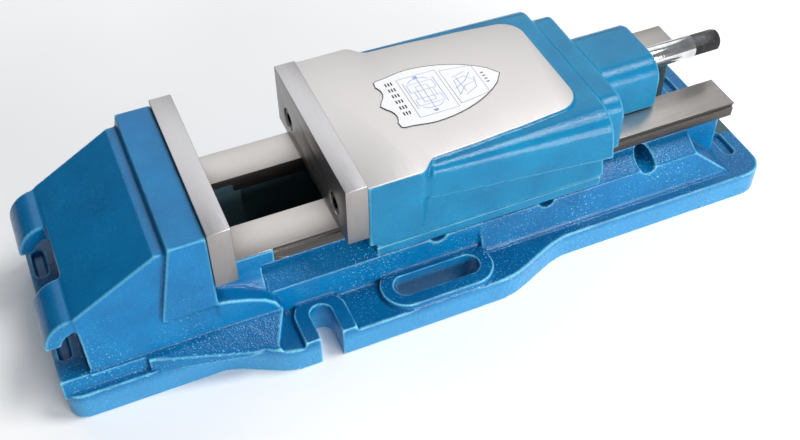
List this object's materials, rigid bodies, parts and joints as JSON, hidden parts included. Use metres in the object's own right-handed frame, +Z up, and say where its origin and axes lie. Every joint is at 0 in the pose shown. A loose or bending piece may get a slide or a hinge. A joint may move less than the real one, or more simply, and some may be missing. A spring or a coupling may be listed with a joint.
{
  "type": "machine vise",
  "caption": "Machine vise with a fixed jaw cast on its bed, a sliding jaw on ground ways, a screw with a force booster and a hexagon drive.",
  "frame": {"origin": "middle of the base's underside, in the plane that rests on the table", "axes": "+X from the fixed jaw towards the drive hexagon, +Y across the jaws, away from the operator's side, +Z up"},
  "size_m": [0.633, 0.224, 0.146],
  "materials": {
    "blue_paint": "gloss enamel over cast iron",
    "ground_steel": "surface ground",
    "black_oxide": "black oxide",
    "bare_iron": "machined iron",
    "bronze": "turned bronze",
    "turned_steel": "turned",
    "bright_steel": "ground and polished",
    "black_knob": "moulded",
    "nitrile": "matt",
    "label_film": "printed film"
  },
  "bodies": {
    "bed": {"bed_casting": "blue_paint", "fixed_jaw_plate": "ground_steel", "fixed_jaw_screws": "black_oxide", "nut_block": "bare_iron", "nut_bush": "bronze", "nut_bush_screws": "black_oxide"},
    "sliding_jaw": {"moving_jaw_casting": "blue_paint", "moving_jaw_plate": "ground_steel", "moving_jaw_screws": "black_oxide", "near_keeper": "blue_paint", "far_keeper": "blue_paint", "keeper_screws": "black_oxide", "label_plate": "label_film", "thrust_washers": "turned_steel", "thrust_balls": "bright_steel", "gland_ring": "bright_steel", "wiper_seal": "nitrile"},
    "spindle": {"lead_screw": "turned_steel", "stop_washer": "turned_steel", "stop_screw": "black_oxide", "booster_cylinder": "turned_steel", "drive_pin": "turned_steel", "cylinder_cap": "turned_steel", "return_spring": "turned_steel"},
    "driver": {"drive_shaft": "bright_steel", "shaft_collar": "bright_steel"},
    "piston": {"booster_piston": "turned_steel", "piston_seal": "nitrile"},
    "pin": {"position_pin": "turned_steel", "pin_knob": "black_knob"}
  },
  "joints": [
    {"name": "jaw_slide", "type": "slide", "parent": "bed", "child": "sliding_jaw", "axis": [1, 0, 0], "range_m": [-0.0868, 0.011]},
    {"name": "spindle_turn", "type": "hinge", "parent": "sliding_jaw", "child": "spindle", "pos_m": [0.1, 0, 0.112], "axis": [1, 0, 0], "range_deg": [-5220, 670]},
    {"name": "driver_turn", "type": "hinge", "parent": "spindle", "child": "driver", "pos_m": [0.2, 0, 0.112], "axis": [1, 0, 0], "range_deg": [-720, 0]},
    {"name": "power_stroke", "type": "slide", "parent": "spindle", "child": "piston", "axis": [-1, 0, 0], "range_m": [0, 0.0041]},
    {"name": "pin_pull", "type": "slide", "parent": "bed", "child": "pin", "axis": [0, 1, 0], "range_m": [0, 0.085]}
  ],
  "couplings": [
    {"joint": "spindle_turn", "follows": "jaw_slide", "rad_per_m": 1047.2},
    {"joint": "power_stroke", "follows": "driver_turn", "m_per_rad": -0.00031831}
  ]
}
